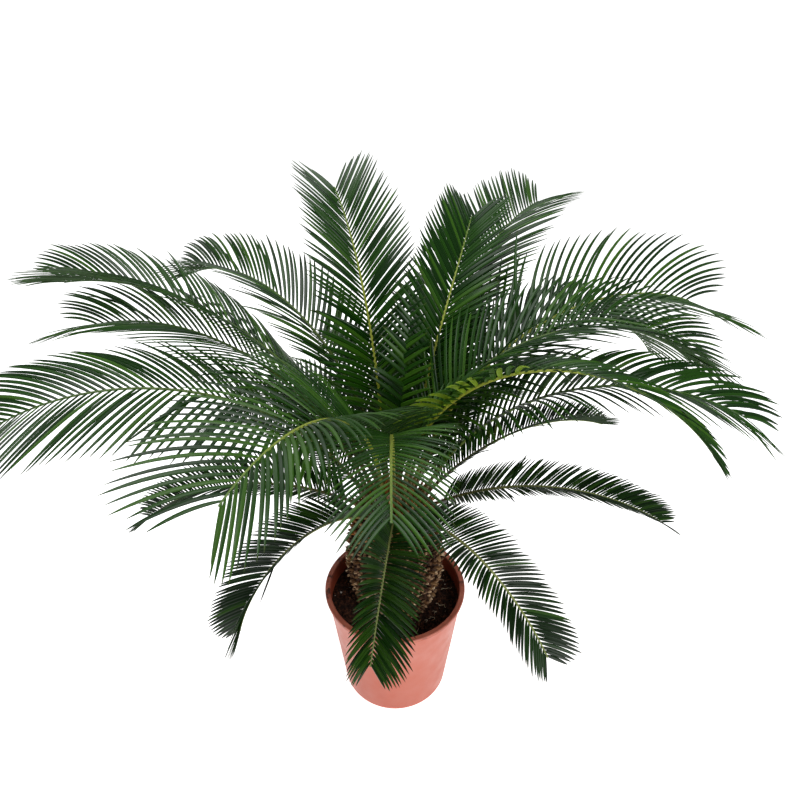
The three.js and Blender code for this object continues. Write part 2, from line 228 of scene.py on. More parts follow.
bpy.ops.mesh.normals_make_consistent(inside=False)
bpy.ops.object.mode_set(mode="OBJECT")
pot = bpy.context.object
pot.name = "nursery_pot"

bpy.ops.object.select_all(action="DESELECT")
drills = []
for hole in range(DRAIN_HOLES):
    around = 2 * math.pi * hole / DRAIN_HOLES
    bpy.ops.mesh.primitive_cylinder_add(
        vertices=24,
        radius=DRAIN_HOLE_RADIUS,
        depth=4 * POT_WALL,
        location=(DRAIN_RING_RADIUS * math.cos(around), DRAIN_RING_RADIUS * math.sin(around), 0),
    )
    drills.append(bpy.context.object)
for drill in drills:
    drill.select_set(True)
bpy.context.view_layer.objects.active = drills[0]
bpy.ops.object.join()
drill = bpy.context.object
bpy.ops.object.transform_apply(location=True, rotation=True, scale=True)
bpy.ops.object.select_all(action="DESELECT")
bpy.context.view_layer.objects.active = pot
pot.select_set(True)
holes = pot.modifiers.new("holes", "BOOLEAN")
holes.object = drill
bpy.ops.object.modifier_apply(modifier=holes.name)
bpy.data.objects.remove(drill)
bpy.ops.object.shade_smooth_by_angle(angle=math.radians(40))

pot_plastic, shader = new_material("pot_plastic", tint(212, 116, 92), 0.45, 0.4)
mottle = ramp(
    pot_plastic,
    noise(pot_plastic, 6, 3, (1, 1, 0.35)),
    (0.3, tint(176, 81, 57)),
    (0.55, tint(182, 89, 66)),
    (0.8, tint(184, 100, 80)),
)
dust = ramp(pot_plastic, noise(pot_plastic, 260, 4), (0.66, (0, 0, 0)), (0.74, (1, 1, 1)))
dust_color = pot_plastic.node_tree.nodes.new("ShaderNodeRGB").outputs["Color"]
dust_color.default_value = (*tint(176, 96, 76), 1)
pot_plastic.node_tree.links.new(
    over(pot_plastic, dust, mottle, dust_color), shader.inputs["Base Color"]
)
gloss = ramp(pot_plastic, noise(pot_plastic, 40, 4), (0.3, (0.36,) * 3), (0.7, (0.5,) * 3))
pot_plastic.node_tree.links.new(gloss, shader.inputs["Roughness"])
bumped(pot_plastic, shader, noise(pot_plastic, 300, 2, (1, 1, 0.1)), 0.0001)

lip_plastic, shader = new_material("lip_plastic", tint(178, 98, 78), 0.5, 0.4)
lip_base = ramp(
    lip_plastic,
    noise(lip_plastic, 24, 4),
    (0.3, tint(158, 82, 64)),
    (0.55, tint(184, 102, 82)),
    (0.75, tint(202, 120, 98)),
)
# dark patches on the lip: partly dirt and scuffs, partly painted shade that darkens the lip
scuffs_and_shade = ramp(
    lip_plastic, noise(lip_plastic, 70, 5, (1, 1, 3)), (0.58, (0, 0, 0)), (0.68, (1, 1, 1))
)
grime_and_shade = ramp(
    lip_plastic, noise(lip_plastic, 400, 2), (0.3, tint(72, 40, 32)), (0.8, tint(120, 66, 52))
)
lip_plastic.node_tree.links.new(
    over(lip_plastic, scuffs_and_shade, lip_base, grime_and_shade), shader.inputs["Base Color"]
)
bumped(lip_plastic, shader, noise(lip_plastic, 500, 3), 0.0002)

pot.data.materials.append(pot_plastic)
pot.data.materials.append(lip_plastic)
for face in pot.data.polygons:
    if face.center.z > lip_foot - 0.0002:
        face.material_index = 1
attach(pot, "root")
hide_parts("pot")


# ---------------------------------------------------------------- soil
# Dark, peaty potting soil. It fills the pot to a little below the lip, is level round the trunk and
# falls a little towards the wall, and its face is rough with crumbs and hollows.

SOIL_LEVEL_RADIUS = 0.082
SOIL_FALL = 0.005
SOIL_FACE_DROP = 0.0035
SOIL_CLEARANCE = 0.0003
SOIL_RINGS = 34
SOIL_RING_WIDTH = 0.0022

soil_low, soil_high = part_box("soil")
SOIL_TOP = soil_high.z
soil_edge = SOIL_TOP - SOIL_FALL
soil_radius = pot_radius(soil_edge) - POT_WALL - SOIL_CLEARANCE


def soil_fall(out):
    """How far the soil has fallen towards the wall, at distances out from the trunk's axis."""
    return SOIL_FALL * np.clip((out - SOIL_LEVEL_RADIUS) / (soil_radius - SOIL_LEVEL_RADIUS), 0, 1)


def roughened(piece, texture, travel, direction="NORMAL"):
    """Push the active piece's points in and out by a texture, through a travel in metres."""
    modifier = piece.modifiers.new(texture.name, "DISPLACE")
    modifier.texture = texture
    modifier.texture_coords = "OBJECT"
    modifier.direction = direction
    modifier.mid_level = 0.5
    modifier.strength = travel
    bpy.ops.object.modifier_apply(modifier=modifier.name)


bpy.ops.mesh.primitive_circle_add(
    vertices=200,
    radius=soil_radius,
    fill_type="NGON",
    location=(0, 0, SOIL_TOP),
    enter_editmode=True,
)
for ring in range(SOIL_RINGS):
    bpy.ops.mesh.inset(thickness=SOIL_RING_WIDTH)
bpy.ops.object.mode_set(mode="OBJECT")
bpy.ops.object.transform_apply(location=True, rotation=True, scale=True)
soil = bpy.context.object
soil.name = "potting_soil"
bpy.ops.object.shade_smooth()
for vertex in soil.data.vertices:
    out = math.hypot(vertex.co.x, vertex.co.y)
    vertex.co.z = SOIL_TOP - SOIL_FACE_DROP - soil_fall(out)
for name, size, depth in (
    ("hollows", 0.022, 0.006),
    ("crumbs", 0.006, 0.0045),
    ("grains", 0.0025, 0.002),
):
    texture = bpy.data.textures.new(name, "CLOUDS")
    texture.noise_scale = size
    texture.noise_depth = 2
    roughened(soil, texture, depth, "Z")
for vertex in soil.data.vertices:
    vertex.co.z = min(vertex.co.z, SOIL_TOP)

bpy.ops.object.mode_set(mode="EDIT")
bpy.ops.mesh.select_all(action="DESELECT")
bpy.ops.mesh.select_non_manifold()
for height in (soil_edge - 0.012, 0.5 * soil_edge, soil_low.z):
    radius = pot_radius(height) - POT_WALL - SOIL_CLEARANCE
    bpy.ops.mesh.extrude_edges_move(TRANSFORM_OT_translate={"value": (0, 0, -0.01)})
    bpy.ops.object.mode_set(mode="OBJECT")
    for vertex in soil.data.vertices:
        if vertex.select:
            out = math.hypot(vertex.co.x, vertex.co.y)
            vertex.co.x *= radius / out
            vertex.co.y *= radius / out
            vertex.co.z = height
    bpy.ops.object.mode_set(mode="EDIT")
bpy.ops.mesh.edge_face_add()
bpy.ops.mesh.select_all(action="SELECT")
bpy.ops.mesh.normals_make_consistent(inside=False)
bpy.ops.object.mode_set(mode="OBJECT")

peat, shader = new_material("peat", tint(52, 34, 26), 0.92, 0.25)
peat_color = ramp(
    peat,
    noise(peat, 160, 5),
    (0.3, tint(24, 14, 12)),
    (0.5, tint(50, 31, 24)),
    (0.66, tint(84, 52, 38)),
    (0.8, tint(128, 92, 66)),
)
peat.node_tree.links.new(peat_color, shader.inputs["Base Color"])
bumped(peat, shader, noise(peat, 420, 4), 0.0012)
soil.data.materials.append(peat)
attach(soil, "root")
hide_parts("soil")


# ---------------------------------------------------------------- crumbs on the soil
# Loose lumps of peat, splinters of bark and a few white grains of perlite lie on the soil. They are
# one piece: each lump is a small faceted ball, squashed and turned its own way.

CRUMBS = 1700
# Shares of dark crumbs, brown crumbs, splinters of bark and perlite
CRUMB_KINDS = (0.5, 0.36, 0.125, 0.015)
SPLINTERS = 2
draw = np.random.default_rng(11)


def ball():
    """The corners and faces of a ball of twenty faces."""
    bpy.ops.mesh.primitive_ico_sphere_add(subdivisions=1, radius=1)
    lump = bpy.context.object
    points = np.array([vertex.co[:] for vertex in lump.data.vertices])
    faces = np.array([face.vertices[:] for face in lump.data.polygons])
    bpy.data.objects.remove(lump)
    return points, faces


def turns(count):
    """Random turns, each as a 3 by 3 matrix."""
    four = draw.normal(size=(count, 4))
    w, x, y, z = (four / np.linalg.norm(four, axis=1, keepdims=True)).T
    rows = [
        [1 - 2 * (y * y + z * z), 2 * (x * y - w * z), 2 * (x * z + w * y)],
        [2 * (x * y + w * z), 1 - 2 * (x * x + z * z), 2 * (y * z - w * x)],
        [2 * (x * z - w * y), 2 * (y * z + w * x), 1 - 2 * (x * x + y * y)],
    ]
    return np.moveaxis(np.array(rows), 2, 0)


def new_piece(name, points, faces, paint, materials):
    """A piece from its points and faces, with the number of each face's material."""
    mesh = bpy.data.meshes.new(name)
    mesh.from_pydata(points, [], faces)
    mesh.polygons.foreach_set("material_index", np.asarray(paint, dtype=np.int32))
    for material in materials:
        mesh.materials.append(material)
    mesh.update()
    piece = bpy.data.objects.new(name, mesh)
    bpy.context.scene.collection.objects.link(piece)
    return piece


ball_points, ball_faces = ball()
out = np.sqrt(draw.uniform(0.066**2, (soil_radius - 0.004) ** 2, CRUMBS))
around = draw.uniform(0, 2 * math.pi, CRUMBS)
size = 0.0009 + 0.0026 * draw.uniform(0, 1, CRUMBS) ** 3
kinds = draw.choice(len(CRUMB_KINDS), CRUMBS, p=CRUMB_KINDS)
squash = draw.uniform(0.45, 1, (CRUMBS, 3)) * size[:, None]
squash[kinds == SPLINTERS] *= (0.45, 2.2, 0.5)
height = SOIL_TOP - SOIL_FACE_DROP - soil_fall(out) + 0.6 * size
centres = np.stack([out * np.cos(around), out * np.sin(around), height], axis=1)
lumps = np.einsum("nij,nkj->nki", turns(CRUMBS), ball_points[None] * squash[:, None])
lumps += centres[:, None]
first = np.arange(CRUMBS)[:, None, None] * len(ball_points)

dark_crumb = new_material("dark_crumb", tint(38, 24, 20), 0.95, 0.2)[0]
brown_crumb = new_material("brown_crumb", tint(78, 50, 38), 0.95, 0.2)[0]
bark_crumb = new_material("bark_crumb", tint(122, 82, 56), 0.9, 0.25)[0]
perlite = new_material("perlite", tint(214, 208, 198), 0.85, 0.3)[0]
crumbs = new_piece(
    "soil_crumbs",
    lumps.reshape(-1, 3),
    (ball_faces[None] + first).reshape(-1, 3).tolist(),
    np.repeat(kinds, len(ball_faces)),
    (dark_crumb, brown_crumb, bark_crumb, perlite),
)
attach(crumbs, "root")


# ---------------------------------------------------------------- fine roots
# A few pale, wiry roots have come up and lie over the soil in loose curls.

ROOTS = 13
ROOT_RADIUS = 0.0005
ROOT_STATIONS = 22
ROOT_SIDES = 6
ROOT_DROP = 0.0008
# Headings of the roots that are sure to lie in front
FRONT_ROOTS = (296, 312, 282, 330, 262)
UP = np.array([0.0, 0.0, 1.0])


def skinned(name, rings, paint, materials):
    """One piece from many rows of rings, each row closed at both ends.

    rings has the shape rows, stations, corners, 3, with the corners counted against the clock as seen
    from the row's start. paint has the material of each face, in the shape rows, stations - 1, corners.
    """
    rows, stations, corners = rings.shape[:3]
    index = np.arange(rows * stations * corners).reshape(rows, stations, corners)
    beside = np.roll(index, -1, axis=2)
    sides = np.stack([index[:, :-1], index[:, 1:], beside[:, 1:], beside[:, :-1]], axis=-1)
    starts = index[:, 0]
    ends = index[:, -1, ::-1]
    faces = sides.reshape(-1, 4).tolist() + starts.tolist() + ends.tolist()
    colors = np.concatenate([paint.reshape(-1), paint[:, 0, 0], paint[:, -1, 0]])
    piece = new_piece(name, rings.reshape(-1, 3), faces, colors, materials)
    piece.data.shade_smooth()
    return piece


def unit(vectors):
    """Vectors of length 1."""
    return vectors / np.linalg.norm(vectors, axis=-1, keepdims=True)


def rounds(sides):
    """Corners of a round section of radius 1, against the clock."""
    turn = np.arange(sides) * 2 * math.pi / sides
    return np.stack([np.cos(turn), np.sin(turn)], axis=1)


def one_paint(kinds, spans, corners):
    """Paint for rows of rings that have one material from end to end."""
    return np.tile(kinds[:, None, None], (1, spans, corners))


def tube_rings(centres, upper, radius, section):
    """Rings round rows of centre points: each section stands across the row, its top towards upper."""
    along = unit(np.gradient(centres, axis=1))
    upward = unit(upper - np.sum(upper * along, axis=-1, keepdims=True) * along)
    sideways = np.cross(along, upward)
    x, y = section[:, 0][:, None], section[:, 1][:, None]
    offset = sideways[:, :, None] * x + upward[:, :, None] * y
    return centres[:, :, None] + offset * radius[:, :, None, None]


stretch = np.linspace(0, 1, ROOT_STATIONS)
root_out = draw.uniform(0.080, 0.108, ROOTS)
root_around = draw.uniform(0, 2 * math.pi, ROOTS)
root_around[: len(FRONT_ROOTS)] = np.radians(FRONT_ROOTS)
root_heading = draw.uniform(0, 2 * math.pi, ROOTS)[:, None]
root_curl = draw.uniform(-1, 1, (ROOTS, 3))
wave = (
    root_curl[:, :1] * 2.6 * stretch
    + root_curl[:, 1:2] * np.sin(7 * stretch)
    + 0.8 * root_curl[:, 2:] * np.sin(15 * stretch)
)
root_step = draw.uniform(0.012, 0.034, ROOTS)[:, None] / ROOT_STATIONS
root_line = np.zeros((ROOTS, ROOT_STATIONS, 3))
root_line[..., 0] = np.cumsum(np.cos(root_heading + wave) * root_step, axis=1)
root_line[..., 1] = np.cumsum(np.sin(root_heading + wave) * root_step, axis=1)
root_line -= root_line.mean(axis=1, keepdims=True)
root_line[..., 0] += (root_out * np.cos(root_around))[:, None]
root_line[..., 1] += (root_out * np.sin(root_around))[:, None]
fall = soil_fall(np.hypot(root_line[..., 0], root_line[..., 1]))
root_line[..., 2] = SOIL_TOP - ROOT_DROP - fall + 0.0012 * np.sin(math.pi * stretch)
root_radius = ROOT_RADIUS * np.repeat((1 - 0.6 * stretch)[None], ROOTS, axis=0)
pale_root = new_material("pale_root", tint(196, 178, 152), 0.7, 0.3)[0]
roots = skinned(
    "fine_roots",
    tube_rings(root_line, UP, root_radius, rounds(ROOT_SIDES)),
    one_paint(np.zeros(ROOTS, dtype=int), ROOT_STATIONS - 1, ROOT_SIDES),
    (pale_root,),
)
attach(roots, "root")


# ---------------------------------------------------------------- trunk
# The short trunk is a swollen, starchy stem that stands on a narrow foot and draws in at its
# shoulder. Its face is a rough, fibrous brown that shows only in the gaps between the scales.

TRUNK_FOOT_RADIUS = 0.068
TRUNK_BELLY_RADIUS = 0.087
TRUNK_SHOULDER_RADIUS = 0.062
TRUNK_BELLY = 0.45
TRUNK_RINGS = 40
SCALE_DEPTH = 0.006

trunk_low, trunk_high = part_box("trunk")
TRUNK_FOOT, TRUNK_TOP = trunk_low.z, trunk_high.z


def trunk_radius(share):
    """The trunk's radius at a share of its height, scales included."""
    share = np.clip(share, 0, 1)
    swell = np.sin(np.minimum(share / TRUNK_BELLY, 1) * math.pi / 2)
    below = TRUNK_FOOT_RADIUS + (TRUNK_BELLY_RADIUS - TRUNK_FOOT_RADIUS) * swell
    above = np.maximum(share - TRUNK_BELLY, 0) / (1 - TRUNK_BELLY)
    drawn_in = 1 - np.cos(above * math.pi / 2)
    return below - (TRUNK_BELLY_RADIUS - TRUNK_SHOULDER_RADIUS) * drawn_in


last_radius = float(trunk_radius(0)) - SCALE_DEPTH
bpy.ops.object.select_all(action="DESELECT")
bpy.ops.mesh.primitive_circle_add(
    vertices=96,
    radius=last_radius,
    fill_type="NGON",
    location=(0, 0, TRUNK_FOOT),
    enter_editmode=True,
)
for ring in range(1, TRUNK_RINGS + 1):
    radius = float(trunk_radius(ring / TRUNK_RINGS)) - SCALE_DEPTH
    step = (TRUNK_TOP - TRUNK_FOOT) / TRUNK_RINGS
    bpy.ops.mesh.extrude_region_move(TRANSFORM_OT_translate={"value": (0, 0, step)})
    bpy.ops.transform.resize(value=(radius / last_radius, radius / last_radius, 1))
    last_radius = radius
bpy.ops.mesh.select_all(action="SELECT")
bpy.ops.mesh.normals_make_consistent(inside=False)
bpy.ops.object.mode_set(mode="OBJECT")
bpy.ops.object.transform_apply(location=True, rotation=True, scale=True)
trunk = bpy.context.object
trunk.name = "trunk_core"
bark_relief = bpy.data.textures.new("bark_relief", "VORONOI")
bark_relief.noise_scale = 0.011
roughened(trunk, bark_relief, 0.004)
bpy.ops.object.shade_smooth()

bark, shader = new_material("trunk_bark", tint(60, 40, 28), 0.95, 0.2)
bark_color = ramp(
    bark,
    noise(bark, 130, 4),
    (0.3, tint(26, 16, 11)),
    (0.55, tint(62, 41, 28)),
    (0.8, tint(112, 80, 52)),
)
bark.node_tree.links.new(bark_color, shader.inputs["Base Color"])
bumped(bark, shader, noise(bark, 380, 4), 0.0012)
trunk.data.materials.append(bark)
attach(trunk, "root")
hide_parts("trunk")


# ---------------------------------------------------------------- trunk scales
# Old leaf bases and scale leaves cover the trunk in close spirals, like the skin of a pineapple. Each
# is a short woody tongue that points up and out and curls at its tip, and on about half of them the tip
# carries a painted highlight, a paler copy of the scale's brown.

SCALES = 1250
GOLDEN_ANGLE = math.radians(137.508)
SCALE_STATIONS = np.array([0, 0.3, 0.6, 0.85, 1.0])
SCALE_OUTLINE = np.array([0.9, 1.0, 0.85, 0.5, 0.12])
TONGUE = np.array([(1, -0.2), (0.6, 0.3), (0, 0.42), (-0.6, 0.3), (-1, -0.2), (0, -0.35)])
# Shares of dark, brown and tan scales
SCALE_TINTS = (0.35, 0.42, 0.23)
# Share of scales whose tips carry a painted highlight
HIGHLIGHTED_TIPS = 0.55
OVERBENT = 1.2


def blade_lines(root, way, bend, length, stations):
    """Centre points of blades that set out along way and turn evenly, until bend is added to it."""
    middle = (stations[1:] + stations[:-1]) / 2
    course = way[:, None] + bend[:, None] * middle[None, :, None]
    steps = unit(course) * (np.diff(stations)[None] * length[:, None])[..., None]
    start = np.zeros_like(root)[:, None]
    return root[:, None] + np.cumsum(np.concatenate([start, steps], axis=1), axis=1)


def around_trunk(turn):
    """Ways out from the trunk's axis at the given turns."""
    return np.stack([np.cos(turn), np.sin(turn), np.zeros_like(turn)], axis=1)


def leaned(outward, lean, sway):
    """Ways that lean from straight up towards outward, with a sway to the side."""
    return unit(outward * np.sin(lean) + UP * np.cos(lean) + sway)


number = np.arange(SCALES)
share = (number + 0.5) / SCALES
turn = number * GOLDEN_ANGLE + draw.normal(0, 0.03, SCALES)
outward = around_trunk(turn)
height = TRUNK_FOOT + share * (TRUNK_TOP - TRUNK_FOOT) + draw.normal(0, 0.0012, SCALES)
radius = trunk_radius(share) - SCALE_DEPTH - 0.001
root = outward * radius[:, None] + UP * height[:, None]
lean = np.radians(draw.normal(48, 13, SCALES))[:, None]
sway = np.cross(outward, UP) * draw.normal(0, 0.22, SCALES)[:, None]
way = leaned(outward, lean, sway)
curl = np.radians(draw.normal(26, 22, SCALES))[:, None]
bent = leaned(outward, lean + curl, 2 * sway)
length = draw.uniform(0.008, 0.0135, SCALES)
centres = blade_lines(root, way, OVERBENT * (bent - way), length, SCALE_STATIONS)
half_width = draw.uniform(0.0028, 0.0044, SCALES)[:, None] * SCALE_OUTLINE
scale_rings = tube_rings(centres, UP - 0.3 * outward[:, None], half_width, TONGUE)
shade = draw.choice(len(SCALE_TINTS), SCALES, p=SCALE_TINTS)
paint = one_paint(shade, len(SCALE_STATIONS) - 1, len(TONGUE))
# the last stations of these scales take a paler copy of their brown as a painted highlight
highlighted_tip = draw.uniform(0, 1, SCALES) < HIGHLIGHTED_TIPS
paint[:, 2:] += len(SCALE_TINTS) * highlighted_tip[:, None, None]
scale_paints = [
    new_material("scale_dark", tint(58, 38, 27), 0.9, 0.2)[0],
    new_material("scale_brown", tint(100, 72, 48), 0.9, 0.2)[0],
    new_material("scale_tan", tint(136, 104, 72), 0.9, 0.25)[0],
    # paler copies of the three browns, painted highlights for the scale tips
    new_material("scale_dark_tip", tint(118, 90, 66), 0.85, 0.3)[0],
    new_material("scale_brown_tip", tint(164, 134, 104), 0.85, 0.3)[0],
    new_material("scale_tan_tip", tint(200, 174, 142), 0.85, 0.3)[0],
]
scales = skinned("trunk_scales", scale_rings, paint, scale_paints)
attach(scales, "root")


# ---------------------------------------------------------------- crown
# The growing point is a low dome of tan wool. Pointed woolly scale leaves stand round it and round
# the trunk's shoulder, where the stalks come out between them.

CROWN_RADIUS = 0.057
CROWN_HEIGHT = 0.027
CROWN_SCALES = 230
SHOULDER_SHARE = 0.55
SHOULDER_DROP = 0.034
FELT_DEPTH = 0.002
FELT_STATIONS = np.array([0, 0.2, 0.45, 0.7, 0.88, 1.0])
FELT_OUTLINE = np.array([0.8, 1.0, 0.86, 0.55, 0.26, 0.05])
# Shares of brown, rusty and tan scale leaves
FELT_TINTS = (0.4, 0.35, 0.25)

bpy.ops.object.select_all(action="DESELECT")
bpy.ops.mesh.primitive_uv_sphere_add(segments=64, ring_count=40, radius=1, enter_editmode=True)
bpy.ops.mesh.bisect(plane_co=(0, 0, 0), plane_no=(0, 0, 1), use_fill=True, clear_inner=True)
bpy.ops.mesh.select_all(action="SELECT")
bpy.ops.transform.resize(
    value=(CROWN_RADIUS - 0.003, CROWN_RADIUS - 0.003, CROWN_HEIGHT - 0.002), center_override=(0, 0, 0)
)
bpy.ops.transform.translate(value=(0, 0, TRUNK_TOP - 0.001))
bpy.ops.object.mode_set(mode="OBJECT")
crown = bpy.context.object
crown.name = "crown_wool"
wool_tufts = bpy.data.textures.new("wool_tufts", "CLOUDS")
wool_tufts.noise_scale = 0.006
wool_tufts.noise_depth = 3
roughened(crown, wool_tufts, 0.006)
bpy.ops.object.shade_smooth()

wool, shader = new_material("crown_wool", tint(140, 104, 66), 0.98, 0.1)
wool_color = ramp(
    wool,
    noise(wool, 90, 5, (1, 1, 0.4)),
    (0.3, tint(74, 46, 26)),
    (0.5, tint(134, 94, 54)),
    (0.75, tint(178, 142, 96)),
)
wool.node_tree.links.new(wool_color, shader.inputs["Base Color"])
shader.inputs["Sheen Weight"].default_value = 0.5
shader.inputs["Sheen Roughness"].default_value = 0.6
bumped(wool, shader, noise(wool, 700, 3, (1, 1, 0.3)), 0.0015)
crown.data.materials.append(wool)
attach(crown, "root")
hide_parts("crown")

number = np.arange(CROWN_SCALES)
turn = number * GOLDEN_ANGLE
outward = around_trunk(turn)
share = (number + 0.5) / CROWN_SCALES
out = CROWN_RADIUS * np.minimum(1.04, 0.25 + 0.95 * np.sqrt(share))
dome = CROWN_HEIGHT * np.sqrt(np.maximum(1 - (out / CROWN_RADIUS) ** 2, 0))
drop = SHOULDER_DROP * np.maximum(share - SHOULDER_SHARE, 0) / (1 - SHOULDER_SHARE)
height = TRUNK_TOP + dome - drop
root = outward * (out - FELT_DEPTH)[:, None] + UP * (height - FELT_DEPTH)[:, None]
lean = np.radians(18 + 52 * share + draw.normal(0, 9, CROWN_SCALES))[:, None]
sway = np.cross(outward, UP) * draw.normal(0, 0.18, CROWN_SCALES)[:, None]
way = leaned(outward, lean, sway)
curl = np.radians(draw.normal(-14, 16, CROWN_SCALES))[:, None]
bent = leaned(outward, lean + curl, sway)
length = draw.uniform(0.016, 0.042, CROWN_SCALES)
centres = blade_lines(root, way, OVERBENT * (bent - way), length, FELT_STATIONS)
half_width = draw.uniform(0.0032, 0.0052, CROWN_SCALES)[:, None] * FELT_OUTLINE
felt_rings = tube_rings(centres, UP - 0.2 * outward[:, None], half_width, TONGUE)
shade = draw.choice(len(FELT_TINTS), CROWN_SCALES, p=FELT_TINTS)
paint = one_paint(shade, len(FELT_STATIONS) - 1, len(TONGUE))
felt_paints = []
for name, dark, light in (
    ("felt_brown", tint(84, 52, 30), tint(132, 88, 52)),
    ("felt_rust", tint(112, 66, 30), tint(160, 104, 58)),
    ("felt_tan", tint(142, 108, 70), tint(188, 156, 112)),
):
    felt, shader = new_material(name, dark, 0.95, 0.15)
    strands = ramp(felt, noise(felt, 380, 3), (0.35, dark), (0.7, light))
    felt.node_tree.links.new(strands, shader.inputs["Base Color"])
    bumped(felt, shader, noise(felt, 900, 2), 0.0006)
    felt_paints.append(felt)
felts = skinned("crown_scales", felt_rings, paint, felt_paints)
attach(felts, "root")


# ---------------------------------------------------------------- ribs
# Each frond hangs on one rib. Its stalk comes out of the crown thick, brown and woolly, with short
# prickles along both edges, and turns into a slim yellow-green rib with a ridge along its top.

SEAT_RADIUS = {"inner": 0.024, "outer": 0.040, "low": 0.051}
SEAT_DEPTH = 0.003
BEND_POWER = 1.25
RIB_STEPS = 70
STALK_SWELL = 0.9
STALK_SWELL_SHARE = 0.07
PRICKLES = 9

# What each flush has in common, in metres. stalk is the share of the rib that is bare of leaflets, sag
# and curl are how strongly they droop and bend forward, and wander is how unevenly they stand.
FLUSH = {
    "young": {
        "rib_width": 0.0082,
        "rib_tip_width": 0.0024,
        "stalk": 0.17,
        "leaf_pitch": 0.0102,
        "leaf_length": 0.170,
        "leaf_width": 0.0070,
        "sag": 0.6,
        "curl": 0.3,
        "wander": 0.7,
    },
    "old": {
        "rib_width": 0.0070,
        "rib_tip_width": 0.0022,
        "stalk": 0.10,
        "leaf_pitch": 0.0055,
        "leaf_length": 0.074,
        "leaf_width": 0.0040,
        "sag": 0.3,
        "curl": 0.12,
        "wander": 0.4,
    },
}

# name, seat ring, seat's place round the crown, heading, rise at the stalk, rise at the tip, length of
# the rib, sideways sweep along the rib, how high it holds its leaflets, how wide it spreads them, and
# their length beside that of its flush. Holds and spreads are those of the left leaflets at the stalk
# and at the tip, then those of the right ones.
FRONDS = [
    ("young_frond_01", "inner", 120, 101, 73, 20, 0.585, 8, (50, 34, 58, 40), (60, 38, 60, 38), 0.77),
    ("young_frond_02", "inner", 45, 53, 78, 20, 0.525, 23, (58, 42, 32, 30), (54, 34, 58, 38), 0.66),
    ("young_frond_03", "inner", 80, 62, 66, 0, 0.675, -9, (10, 42, 30, 22), (58, 38, 54, 32), 0.84),
    ("young_frond_04", "outer", 106, 134, 72, -28, 0.660, 10, (38, 26, 14, 62), (44, 22, 42, 28), 0.86),
    ("young_frond_05", "outer", 150, 161, 70, -11, 0.670, 10, (36, 42, -40, 58), (44, 22, 46, 26), 0.88),
    ("young_frond_06", "outer", 172, 165, 72, -17, 0.595, 6, (18, 14, -24, 54), (46, 24, 42, 24), 0.94),
    ("young_frond_07", "outer", 128, 140, 60, -60, 0.420, 0, (24, 20, 24, 20), (50, 28, 50, 28), 0.7),
    ("young_frond_08", "outer", 196, 192, 68, -38, 0.700, 4, (12, 4, 6, 24), (66, 50, 48, 28), 1.02),
    ("young_frond_09", "inner", 220, 248, 84, -18, 0.550, -4, (32, 12, 48, 26), (50, 28, 64, 40), 0.9),
    ("young_frond_10", "inner", 268, 269, 84, -15, 0.500, 2, (30, 4, 30, 4), (66, 32, 66, 32), 0.6),
    ("young_frond_11", "inner", -50, -14, 90, -50, 0.645, -15, (30, 16, 54, 26), (30, 8, 74, 18), 0.5),
    ("young_frond_12", "outer", -8, -10, 72, -26, 0.590, -6, (40, 36, 38, 14), (46, 24, 54, 32), 0.74),
    ("young_frond_13", "inner", -20, 10, 88, -46, 0.650, -8, (26, 46, 36, 22), (50, 28, 50, 28), 0.85),
    ("young_frond_14", "inner", 10, 26, 74, -22, 0.650, -14, (12, 56, 34, 4), (54, 31, 60, 50), 1.1),
    ("young_frond_15", "outer", 40, 32, 69, -54, 0.680, -6, (26, 40, 36, 22), (50, 28, 50, 28), 0.88),
    ("young_frond_16", "outer", 62, 78, 50, -56, 0.560, 0, (24, 20, 24, 20), (50, 28, 50, 28), 0.84),
    ("young_frond_17", "outer", 84, 104, 48, -54, 0.560, 0, (24, 20, 24, 20), (50, 28, 50, 28), 0.84),
    ("old_frond_01", "low", 270, 271, 56, -44, 0.365, -11, (28, 24, 70, 66), (74, 46, 74, 46), 0.95),
    ("old_frond_02", "low", 228, 226, 45, -70, 0.330, 2, (54, 52, 16, 14), (60, 38, 60, 38), 1.05),
    ("old_frond_03", "low", 186, 181, 30, -44, 0.400, 0, (28, 24, 36, 30), (60, 38, 60, 38), 1),
    ("old_frond_04", "low", -10, -14, 38, -30, 0.405, 0, (24, 20, 24, 34), (56, 36, 62, 36), 0.92),
    ("old_frond_05", "low", 20, 24, 42, -26, 0.385, -8, (30, 30, 46, 50), (56, 36, 56, 36), 0.88),
    ("old_frond_06", "low", 300, 298, 44, -45, 0.365, 8, (28, 24, 28, 24), (68, 44, 68, 44), 0.88),
    ("old_frond_07", "low", 50, 55, 40, -45, 0.400, 0, (28, 24, 28, 24), (60, 38, 60, 38), 0.95),
    ("old_frond_08", "low", 84, 90, 40, -45, 0.400, 0, (28, 24, 28, 24), (60, 38, 60, 38), 0.95),
    ("old_frond_09", "low", 118, 125, 40, -45, 0.400, 0, (28, 24, 28, 24), (60, 38, 60, 38), 0.95),
    ("old_frond_10", "low", 152, 150, 40, -45, 0.400, 0, (28, 24, 28, 24), (60, 38, 60, 38), 0.95),
]


def direction(heading, rise):
    """Vectors of length 1 at headings round the plant and rises above level, in radians."""
    flat = np.cos(rise)
    return np.stack([flat * np.cos(heading), flat * np.sin(heading), np.sin(rise)], axis=-1)


